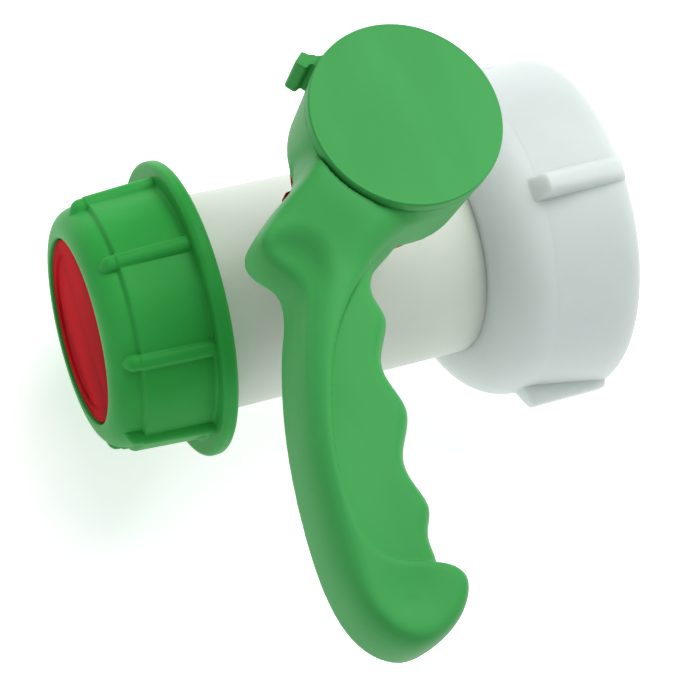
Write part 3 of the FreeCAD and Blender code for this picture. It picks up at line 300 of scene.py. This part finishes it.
FINISHES = {
    "green_plastic": green,
    "cap_plastic": cap_green,
    "red_plastic": red,
    "body_plastic": natural,
    "nut_plastic": white,
    "flap_plastic": flap_white,
    "spindle_plastic": spindle_grey,
    "bearing_plastic": bearing_white,
    "black_rubber": rubber,
    "screw_steel": steel,
}
for subpart in frame["record"]["subparts"]:
    mesh = nodes[subpart["node"]].data
    mesh.materials.clear()
    mesh.materials.append(FINISHES[subpart["material_slot"]].material)
print("finishes:", ", ".join(FINISHES))

# %% [markdown]
# ## Meshes worked out on grids
# The CAD nodes are plain solids. The moulded pieces that show get a finer mesh of their own, worked out in
# millimetres about the lever's stem with numpy: +X to the tank, -Y along the lever, +Z up. A piece then takes
# the place of its CAD node, rides on the same body and stays inside the same sizes.

# %% Mesh helpers
MM = 0.001
STEM = np.array([STEM_X, 0.0, 0.0])
SHARP = np.radians(42.0)


def make_piece(name, points, quads):
    """An object of quads over points in millimetres. Equal points are welded. The quads are turned over if
    the volume that they close, the sum of a.(b x c) over their triangles, comes out below nothing."""
    thirds = np.concatenate([quads[:, [0, 1, 2]], quads[:, [0, 2, 3]]])
    a, b, c = (points[thirds[:, i]] for i in range(3))
    if np.einsum("ij,ij->i", a, np.cross(b, c)).sum() < 0:
        quads = quads[:, ::-1]
    mesh = bpy.data.meshes.new(name)
    mesh.vertices.add(len(points))
    mesh.vertices.foreach_set("co", (points * MM + STEM).ravel())
    mesh.loops.add(quads.size)
    mesh.loops.foreach_set("vertex_index", quads.ravel())
    mesh.polygons.add(len(quads))
    mesh.polygons.foreach_set("loop_start", np.arange(0, quads.size, 4))
    mesh.update(calc_edges=True)
    welded = bmesh.new()
    welded.from_mesh(mesh)
    bmesh.ops.remove_doubles(welded, verts=welded.verts, dist=1e-7)
    open_edges = sum(not edge.is_manifold for edge in welded.edges)
    welded.to_mesh(mesh)
    welded.free()
    mesh.shade_smooth()
    mesh.set_sharp_from_angle(angle=SHARP)
    piece = bpy.data.objects.new(name, mesh)
    bpy.context.scene.collection.objects.link(piece)
    print(f"{name}: {len(mesh.vertices)} points, {len(mesh.polygons)} faces, {open_edges} open edges")
    return piece


def dress(piece, body, slot, *replaced):
    """Puts a piece on its body, in its material slot, in the place of its CAD nodes."""
    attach(piece, body)
    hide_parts(*replaced)
    piece.data.materials.append(FINISHES[slot].material)
    return piece


def closed_grid(points, closed=True):
    """Quads over a grid of points whose rows run round, and whose columns do too if the section is closed."""
    rows, columns = points.shape[:2]
    index = np.arange(rows * columns).reshape(rows, columns)
    down = np.roll(index, -1, 0)
    quads = np.stack([index, np.roll(index, -1, 1), np.roll(down, -1, 1), down], -1)
    quads = quads if closed else quads[:-1]
    return points.reshape(-1, 3), quads.reshape(-1, 4)


def rounded(corners, step, closed=True):
    """Points along a closed section of corners (place, radius from the axis, rounding). Each corner with a
    rounding r and a bend of 2a turns on an arc that starts r tan(a) before it. Runs are cut into steps."""
    corners = np.array(corners, float)
    spots, rounding = corners[:, :2], corners[:, 2]
    before = np.roll(spots, 1, 0) - spots
    after = np.roll(spots, -1, 0) - spots
    before = before / np.linalg.norm(before, axis=1, keepdims=True)
    after = after / np.linalg.norm(after, axis=1, keepdims=True)
    half = 0.5 * np.arccos(np.clip((before * after).sum(1), -1.0, 1.0))
    middle = before + after
    middle = middle / np.maximum(np.linalg.norm(middle, axis=1, keepdims=True), 1e-9)
    back_off = rounding / np.tan(half)
    centre = spots + middle * (rounding / np.sin(half))[:, None]
    start = spots + before * back_off[:, None]
    end = spots + after * back_off[:, None]
    line = []
    for i, radius in enumerate(rounding):
        count = max(1, int(np.ceil((np.pi - 2 * half[i]) * radius / step * 2)))
        share = np.linspace(0.0, 1.0, count + 1)[:, None] if radius > 0 else np.zeros((1, 1))
        swing = start[i] * (1 - share) + end[i] * share - centre[i]
        length = np.maximum(np.linalg.norm(swing, axis=1, keepdims=True), 1e-9)
        arc = centre[i] + swing / length * radius if radius > 0 else spots[i : i + 1]
        run = np.linalg.norm(start[(i + 1) % len(spots)] - arc[-1])
        steps = max(1, int(np.ceil(run / step)))
        rest = np.linspace(0.0, 1.0, steps + 1)[1:-1, None]
        rest = rest if closed or i < len(spots) - 1 else rest[:0]
        line += [arc, arc[-1] * (1 - rest) + start[(i + 1) % len(spots)] * rest]
    return np.concatenate(line)


def around_tube(place, radius, turn):
    """Points at places along the tube's axis, radii from it, and angles from +Y towards +Z."""
    place, radius, turn = np.broadcast_arrays(place, radius, turn)
    return np.stack([place, radius * np.cos(turn), radius * np.sin(turn)], -1)


def smooth_step(value):
    """0 below 0 and 1 above 1, and 3v^2 - 2v^3 between."""
    v = np.clip(value, 0.0, 1.0)
    return v * v * (3.0 - 2.0 * v)


def clustered(count, lead, half, fine, coarse):
    """Angles in degrees round the tube, close together within half of each of the equal features."""
    pitch = 360.0 / count
    near = np.linspace(-half, half, int(np.ceil(2 * half / fine)) + 1)
    far = np.linspace(half, pitch - half, int(np.ceil((pitch - 2 * half) / coarse)) + 1)[1:-1]
    one = np.concatenate([near, far])
    return (lead + pitch * np.arange(count)[:, None] + one[None, :]).ravel()


def offset_from(turn, count, lead):
    """The angle in degrees from the nearest of the equal features, from minus to plus half a pitch."""
    pitch = 360.0 / count
    return (turn - lead + pitch / 2) % pitch - pitch / 2


def inner_thread(place, turn, root, depth, pitch, middle, start, end):
    """The radius of a screwed bore: its root less a blunt saw tooth of the turns past a tooth's middle, which
    grows along the first and last half turns."""
    past = (place - middle) / pitch - (turn - 90.0) / 360.0
    away = np.abs((past + 0.5) % 1.0 - 0.5) * pitch
    tooth = 1.0 - smooth_step((away - 0.7) / 1.15)
    run = smooth_step((place - start) / 2.5) * smooth_step((end - place) / 2.5)
    return root - depth * tooth * run


# %% [markdown]
# ## Cap ring
# The green ring at the outlet is injection moulded, and its core unscrews from the inner thread. Its flange,
# the half-round grip ribs and the blunt nose all have the soft radii of a mould. It could be a revolve
# with ribs joined on, which leaves crisp edges at each rib. A closed section swept round a grid of angles,
# close together at the ribs, lets each rib swell out of the panel and fade into the nose.

# %% Cap ring
CAP_BACK = -34.9
CAP_FRONT = -65.4
CAP_BORE = 30.4
CAP_PANEL = 35.0
CAP_RIBS = 8
CAP_RIB_LEAD = 37.4
RIB_RADIUS = 2.2
RIB_END = -60.2
cap_section = rounded(
    [
        (CAP_BACK, CAP_BORE, 0.5),
        (CAP_BACK, 41.0, 1.5),
        (-39.1, 41.0, 1.5),
        (-39.1, 35.7, 0.9),
        (-57.8, 34.6, 0.3),
        (-58.5, 33.1, 0.4),
        (CAP_FRONT, 32.8, 6.6),
        (CAP_FRONT, 25.5, 0.5),
        (-62.7, 25.5, 0.3),
        (-62.7, CAP_BORE, 0.4),
    ],
    0.62,
)
cap_turns = clustered(CAP_RIBS, CAP_RIB_LEAD, 5.4, 0.42, 2.0)[None, :]
cap_x = cap_section[:, :1]
cap_r = cap_section[:, 1:]
rib_off = np.radians(offset_from(cap_turns, CAP_RIBS, CAP_RIB_LEAD)) * CAP_PANEL
rib_past = np.maximum(RIB_END - cap_x, 0.0)
rib_form = np.sqrt(np.maximum(RIB_RADIUS**2 - rib_off**2 - rib_past**2, 0.0))
ribbed = (cap_r > CAP_BORE + 1.5) & (cap_x < -39.0) & (rib_form > 0.0)
rib_axis = np.minimum(34.7 + 0.09 * (cap_x + 48.5), cap_r + 0.3)
cap_radius = np.where(ribbed, np.maximum(cap_r, rib_axis + rib_form), cap_r)
threaded = (np.abs(cap_r - CAP_BORE) < 0.01) & (cap_x < CAP_BACK - 0.5)
cap_thread = inner_thread(cap_x, cap_turns, CAP_BORE, 2.6, 6.0, -52.75, -54.6, -38.0)
cap_radius = np.where(threaded, cap_thread, cap_radius)
cap_ring = make_piece("cap_ring", *closed_grid(around_tube(cap_x, cap_radius, np.radians(cap_turns))))
dress(cap_ring, "cap", "cap_plastic", "cap_nut")

# %% [markdown]
# ## Coupling nut
# The white nut is one thick moulding: a bell with a round shoulder, four spanner lugs and a coarse thread for
# the tank's outlet. The lugs are drafted and soft at their edges. As with the cap, a closed section swept round
# angles that crowd at the lugs gives the blends that separate solids can't, and the bore gets its thread.

# %% Coupling nut
NUT_BACK = 42.2
NUT_RIM = 79.5
NUT_BORE = 38.3
LUG_CROWN = 51.3
LUG_HALF = 3.75
nut_section = rounded(
    [
        (NUT_BACK, 29.94, 0.02),
        (NUT_BACK, 45.7, 13.6),
        (56.4, 45.7, 8.0),
        (NUT_RIM, 49.5, 0.8),
        (NUT_RIM, 43.4, 0.8),
        (73.0, NUT_BORE, 1.2),
        (53.0, NUT_BORE, 0.3),
        (53.0, 35.2, 0.3),
        (44.3, 35.2, 0.3),
        (44.3, 29.94, 0.02),
    ],
    0.8,
)
nut_turns = clustered(4, 96.0, 6.4, 0.3, 2.2)[None, :]
nut_x = nut_section[:, :1]
nut_r = nut_section[:, 1:]
lug_off = np.abs(np.radians(offset_from(nut_turns, 4, 96.0)) * LUG_CROWN)
lug_side = np.clip(1.0 - (lug_off / LUG_HALF) ** 4, 0.0, 1.0) ** (1.0 / 1.5)
lug_start = smooth_step((nut_x - 50.2) / 5.8)
lug_rise = LUG_CROWN * lug_start + 40.0 * (1.0 - lug_start)
lug_end = smooth_step((79.6 - nut_x) / 1.2)
shell = (nut_r > 43.9) & (nut_x > 47.0)
lug_lift = np.maximum(lug_rise - nut_r, 0.0) * lug_side * lug_end * shell
nut_radius = nut_r + lug_lift
in_bore = np.abs(nut_r - NUT_BORE) < 0.01
nut_thread = inner_thread(nut_x, nut_turns, NUT_BORE, 1.4, 6.0, 58.0, 55.0, 73.4)
nut_radius = np.where(in_bore, nut_thread, nut_radius)
nut = make_piece("nut_bell", *closed_grid(around_tube(nut_x, nut_radius, np.radians(nut_turns))))
dress(nut, "coupling", "nut_plastic", "coupling_nut")

# %% [markdown]
# ## Lid
# The flat lid snaps into the hub over the screw. It was filled through its middle, so a faint ring of the gate
# shows there, and its rim is a small radius. Its section turned about the stem gives all of that.

# %% Lid
LID_TOP = 100.0
LID_SEAT = 96.9
LID_RADIUS = 23.2
lid_section = rounded(
    [
        (0.0, LID_SEAT, 0.0),
        (15.85, LID_SEAT, 0.3),
        (15.85, LID_SEAT - 3.6, 0.3),
        (17.85, LID_SEAT - 3.6, 0.3),
        (17.85, LID_SEAT, 0.1),
        (LID_RADIUS, LID_SEAT, 0.1),
        (LID_RADIUS, LID_TOP, 0.55),
        (0.0, LID_TOP, 0.0),
    ],
    0.6,
    closed=False,
)
on_top = lid_section[:, 1] > LID_TOP - 0.01
gate = np.exp(-(((lid_section[:, 0] - 1.5) / 0.3) ** 2)) * 0.06
lid_section[:, 1] -= np.where(on_top, gate + 0.1 * smooth_step(lid_section[:, 0] / 20.0), 0.0)
lid_turns = np.radians(np.arange(0.0, 360.0, 2.5))[None, :]
lid_points = np.stack(
    [
        lid_section[:, :1] * np.cos(lid_turns),
        lid_section[:, :1] * np.sin(lid_turns),
        np.broadcast_to(lid_section[:, 1:], (len(lid_section), lid_turns.size)),
    ],
    -1,
)
lid = make_piece("lid_disc", *closed_grid(lid_points, closed=False))
dress(lid, "lever", "green_plastic", "lid")

# %% [markdown]
# ## Lever
# The green lever is one moulding with no flat on it: a hub, a root that rises to the lid, a thumb beak with a
# hollow, a domed spine that ends in a knob, and a lower web with a wave for each finger. Extrudes with rounded
# edges can't dome a spine this narrow, and a subdivided cage would have to be placed by hand. So the lever is a
# distance field: plans drawn through smooth curves, each with its own section, joined and cut with soft
# blends. Surface nets turn the field into quads: each cell that the surface passes gets one point.

# %% Lever field tools


def smooth_loop(points, count):
    """A closed curve through points. Between two of them it is a cubic of the distance, and one linear system
    picks the bends so that slope and bend run on through every point."""
    p = np.array(points, float)
    n = len(p)
    run = np.linalg.norm(np.roll(p, -1, 0) - p, axis=1)[:, None]
    slope = (np.roll(p, -1, 0) - p) / run
    before = np.roll(run, 1, 0)
    index = np.arange(n)
    system = np.diag(2 * (run + before)[:, 0])
    system[index, (index + 1) % n] += run[:, 0]
    system[index, (index - 1) % n] += before[:, 0]
    bend = np.linalg.solve(system, 6 * (slope - np.roll(slope, 1, 0)))
    b = np.linspace(0.0, 1.0, count, endpoint=False)[:, None, None]
    a = 1.0 - b
    curve = a * p + b * np.roll(p, -1, 0)
    curve += ((a**3 - a) * bend + (b**3 - b) * np.roll(bend, -1, 0)) * run**2 / 6
    return curve.transpose(1, 0, 2).reshape(-1, 2)


def loop_distance(x, y, loop):
    """Signed distance to a closed line: the least distance to its runs, and negative where a ray along +X
    crosses the line an odd number of times."""
    start, end = loop, np.roll(loop, -1, 0)
    run = end - start
    dx, dy = x[..., None] - start[:, 0], y[..., None] - start[:, 1]
    share = np.clip((dx * run[:, 0] + dy * run[:, 1]) / (run**2).sum(1), 0.0, 1.0)
    nearest = np.hypot(dx - share * run[:, 0], dy - share * run[:, 1]).min(-1)
    level = np.where(run[:, 1] == 0.0, 1.0, run[:, 1])
    straddles = (start[:, 1] > y[..., None]) != (end[:, 1] > y[..., None])
    crossed = straddles & (dx < dy * run[:, 0] / level)
    return np.where(crossed.sum(-1) % 2 == 1, -nearest, nearest)


def slab(flat, z, low, high, radius):
    """A plan's plate with rounded edges: the distance, in the section, to a box shrunk by the radius."""
    across = flat + radius
    along = np.abs(z - (low + high) / 2) - (high - low) / 2 + radius
    outside = np.hypot(np.maximum(across, 0.0), np.maximum(along, 0.0))
    return outside + np.minimum(np.maximum(across, along), 0.0) - radius


def dome(flat, z, side, top, reach, power):
    """A plan's domed top: over the side level the section is a superellipse, |u|^p + |v|^p = 1, that rises
    from the outline to the top within the reach. The value is divided by its slope to read as a distance."""
    u = np.maximum(1.0 + flat / reach, 0.0)
    v = np.maximum((z - side) / (top - side), 0.0)
    norm = np.maximum((u**power + v**power) ** (1.0 / power), 1e-6)
    slope_u = (u / norm) ** (power - 1) / reach
    slope_v = (v / norm) ** (power - 1) / (top - side)
    return (norm - 1.0) / np.maximum(np.hypot(slope_u, slope_v), 0.03)


def join(a, b, radius):
    """Two fields as one body, with a fillet of about the radius in the corner between them."""
    return np.minimum(a, b) - np.maximum(radius - np.abs(a - b), 0.0) ** 2 / (4.0 * radius)


def carve(a, b, radius):
    """The first field less the second, with a soft edge of about the radius."""
    return -join(-a, b, radius)


def surface_net(field, axes):
    """Quads where a field changes sign. Each cell that the surface passes gets the mean of the crossings on
    its edges, found by straight lines between its corners, and each edge crossed gets the quad of the four
    cells round it."""
    shape = np.array(field.shape)
    cells = tuple(shape - 1)
    total, number = np.zeros((*cells, 3)), np.zeros(cells)
    inside = field < 0
    steps = np.array([a[1] - a[0] for a in axes])
    crossings = []
    for axis in range(3):
        low = [slice(None)] * 3
        high = [slice(None)] * 3
        low[axis], high[axis] = slice(0, -1), slice(1, None)
        first, second = field[tuple(low)], field[tuple(high)]
        cut = inside[tuple(low)] != inside[tuple(high)]
        share = np.where(cut, first / np.where(cut, first - second, 1.0), 0.0)
        crossings.append((cut, inside[tuple(low)]))
        sides = [a for a in range(3) if a != axis]
        for near in (0, 1):
            for far in (0, 1):
                pick = [slice(None)] * 3
                pick[sides[0]] = slice(near, near + cells[sides[0]])
                pick[sides[1]] = slice(far, far + cells[sides[1]])
                here = cut[tuple(pick)]
                number += here
                total[..., axis] += np.where(here, share[tuple(pick)], 0.0)
                total[..., sides[0]] += here * near
                total[..., sides[1]] += here * far
    used = number > 0
    label = np.full(cells, -1)
    label[used] = np.arange(used.sum())
    corner = np.stack(np.nonzero(used), -1)
    points = np.array([a[0] for a in axes]) + (corner + total[used] / number[used][:, None]) * steps
    quads = []
    for axis, (cut, starts_inside) in enumerate(crossings):
        one, two = [a for a in range(3) if a != axis]
        place = np.stack(np.nonzero(cut), -1)
        offsets = np.zeros((4, 3), int)
        offsets[[1, 2], one] = -1
        offsets[[2, 3], two] = -1
        ring = place[:, None, :] + offsets[None, :, :]
        faces = label[tuple(ring.transpose(2, 0, 1))]
        turn = starts_inside[cut] ^ (axis == 1)
        quads.append(np.where(turn[:, None], faces[:, ::-1], faces))
    return points, np.concatenate(quads)


# %% [markdown]
# ## The lever's plans and sections
# The outlines were drawn over the photograph, through the fitted camera, at the height where each edge shows.
# The spine's outer side is domed from the widest level up to its crest, and its inner side stands over the web
# as a low step with a small radius, which is the bright line beside the fingers' web.

# %% Lever
HUB_BASE = 75.2
HUB_LOW_RADIUS = 22.36
HUB_HIGH_RADIUS = 23.1
CAVITY_RADIUS = 19.6
CAVITY_TOP = 84.0
RECESS_FLOOR = 92.0
RECESS_RADIUS = 17.9
SQUARE_HALF = 4.95
GRIP_BASE = 75.8
CREST = 95.2
WEB_TOP = 92.0
outer_side = [(-22.2, 1.2), (-25.2, -4.6), (-32.3, -10.6)]
beak = [(-38.9, -15.8), (-42.0, -20.5), (-40.2, -25.0)]
waist = [(-37.0, -28.6), (-36.4, -33.0), (-38.9, -40.2), (-42.2, -49.4), (-45.2, -61.0)]
back_side = [(-47.3, -74.0), (-48.3, -88.0), (-47.5, -101.0), (-43.6, -110.5)]
knob = [(-36.8, -115.1), (-28.2, -113.4), (-21.9, -107.8), (-20.6, -102.6), (-22.9, -99.4), (-28.2, -98.0)]
bend_side = [(-33.2, -96.9), (-37.4, -94.8), (-40.4, -90.6), (-41.9, -82.0)]
crease = [(-40.6, -69.0), (-36.8, -56.2), (-30.6, -43.6), (-22.6, -34.6)]
in_hub = [(-12.6, -27.0), (-2.0, -22.6), (6.0, -17.0), (4.0, -6.0), (-6.0, 4.0), (-15.0, 7.5)]
spine_points = outer_side + beak + waist + back_side + knob + bend_side + crease + in_hub
spine_loop = smooth_loop(spine_points, 5)
knob_end = 5 * (len(outer_side + beak + waist + back_side + knob) - 1)
outer_loop = np.concatenate([spine_loop[: knob_end + 1], [(70.0, -98.0), (70.0, 60.0), (-22.2, 60.0)]])
finger_y = -(42.6 + 22.2 * np.arange(-1, 11) / 4)
finger_x = -(18.3 + 0.125 * 22.2 * np.arange(-1, 11) / 4) + 1.7 * np.cos(np.pi * np.arange(-1, 11) / 2)
fingers = list(zip(finger_x.tolist(), finger_y.tolist()))[:-1]
web_points = [(-12.8, -28.8), *fingers, (-24.6, -97.4), (-30.0, -106.0), (-50.0, -118.0), (-90.0, -60.0)]
web_loop = smooth_loop(web_points + [(-40.0, 10.0), (-4.0, -12.0), (-4.0, -22.0)], 5)
STEP = 0.66
axes = (np.arange(-50.0, 31.0, STEP), np.arange(-117.0, 26.0, STEP), np.arange(73.6, 100.6, STEP))
flat_x, flat_y = np.meshgrid(axes[0], axes[1], indexing="ij")
spine_flat = loop_distance(flat_x, flat_y, spine_loop)[..., None]
outer_flat = loop_distance(flat_x, flat_y, outer_loop)[..., None]
web_flat = loop_distance(flat_x, flat_y, web_loop)[..., None]
x, y = flat_x[..., None], flat_y[..., None]
z = axes[2][None, None, :]
reach = np.hypot(x, y)
turn = np.degrees(np.arctan2(y, x)) % 360.0

along = smooth_step((-y - 30.0) / 40.0)
ramp_side = np.exp(-((np.clip(np.abs(turn - 208.5) - 11.5, 0.0, 180.0) / 34.0) ** 2))
ramp = 3.3 * ramp_side * (1.0 - smooth_step((reach - 23.6) / 17.0))
knob_dish = 0.7 * np.exp(-(((x + 35.4) ** 2 + (y + 103.2) ** 2) / 5.2**2))
knob_mark = 0.2 * np.exp(-((((x + 36.4) ** 2 + (y + 105.6) ** 2) / 1.9**2) ** 2))
top = CREST + ramp - knob_dish - knob_mark
at_root = smooth_step((y + 32.0) / 12.0)
at_knob = smooth_step((-y - 90.0) / 14.0)
roll = 9.0 - 2.0 * along - 5.4 * at_root - 2.6 * at_knob
web_end = smooth_step((x + 38.0) / 3.0) * (1.0 - smooth_step((x + 28.5) / 7.0))
web_end = web_end * smooth_step((y + 103.5) / 4.0) * smooth_step((-y - 90.0) / 4.0)
roll = roll - (roll - 1.4) * web_end
domed = dome(outer_flat, z, 78.5, top, roll, 2.4 + 0.4 * along)
under = slab(outer_flat, z, GRIP_BASE, 130.0, 2.4)
edge = 0.9 + 4.1 * smooth_step((y + 42.0) / 18.0)
spine = np.maximum(np.maximum(domed, under), slab(spine_flat, z, GRIP_BASE, top + 0.02, edge))
web_base = 77.4 - 1.4 * smooth_step((y + 38.0) / 8.0)
web = np.maximum(dome(web_flat, z, 80.5, WEB_TOP, 4.6, 2.4), slab(web_flat, z, web_base, 130.0, 2.2))
web = np.where((x > -38.0) & (y < -88.0), web, np.maximum(web, outer_flat + 2.2))
grip = join(spine, web, 0.7)
thumb = np.sqrt((x + 37.0) ** 2 + (y + 28.2) ** 2 + (z - (CREST + 10.5 - 4.9)) ** 2) - 10.5
grip = carve(grip, thumb, 2.0)

slope = (HUB_HIGH_RADIUS - HUB_LOW_RADIUS) / (LID_SEAT - HUB_BASE)
drum = slab(reach - HUB_LOW_RADIUS - slope * (z - HUB_BASE), z, HUB_BASE, LID_SEAT, 0.3)
post_turn = np.radians(132.4)
post_out = x * np.cos(post_turn) + y * np.sin(post_turn)
post_side = -x * np.sin(post_turn) + y * np.cos(post_turn)
post_loop = np.array(
    [(20.0, -6.6), (22.3, -5.2), (24.4, -3.0), (26.2, -2.1), (27.9, -1.7), (27.9, 1.8), (24.7, 1.8), (24.5, 0.1)]
    + [(20.0, -0.1)]
)
post_flat = loop_distance(post_out[..., 0], post_side[..., 0], post_loop)[..., None]
post = slab(post_flat, z, 84.4, 96.2, 0.3)
corner = 0.6 + 2.4 * smooth_step((x + 14.0) / 10.0)
lever_field = join(join(drum, grip, corner), post, 0.5)
hollow = np.maximum(reach - CAVITY_RADIUS, z - CAVITY_TOP)
key = slab(np.maximum(np.abs(turn - 20.0) - 11.0, 0.0) * 0.31 + np.maximum(15.6 - reach, 0.0) - 0.01, z, 76.2, 90.0, 0.0)
hollow = np.maximum(hollow, -key)
recess = np.maximum(reach - RECESS_RADIUS, RECESS_FLOOR - z)
square = np.maximum(np.abs(x), np.abs(y)) - SQUARE_HALF
rebate = np.maximum(reach - LID_RADIUS - 0.42, LID_SEAT - z)
removed = np.minimum(np.minimum(hollow, recess), np.minimum(square, rebate))
lever_field = np.maximum(lever_field, -removed)
points, quads = surface_net(lever_field, axes)
lever = make_piece("lever_moulding", points, quads)
dress(lever, "lever", "green_plastic", "lever")

# %% Floor
floor_mesh = bpy.data.meshes.new("floor")
FLOOR_HALF = 3.0
corners = [(-FLOOR_HALF, -FLOOR_HALF), (FLOOR_HALF, -FLOOR_HALF), (FLOOR_HALF, FLOOR_HALF), (-FLOOR_HALF, FLOOR_HALF)]
floor_mesh.from_pydata([(x, y, floor_z) for x, y in corners], [], [(0, 1, 2, 3)])
floor = bpy.data.objects.new("floor", floor_mesh)
bpy.context.scene.collection.objects.link(floor)
paper = Finish("paper")
paper.set(Base_Color=(0.93, 0.93, 0.93, 1.0), Roughness=0.9)
paper.set(Emission_Color=(1.0, 1.0, 1.0, 1.0), Emission_Strength=0.5)
floor_mesh.materials.append(paper.material)
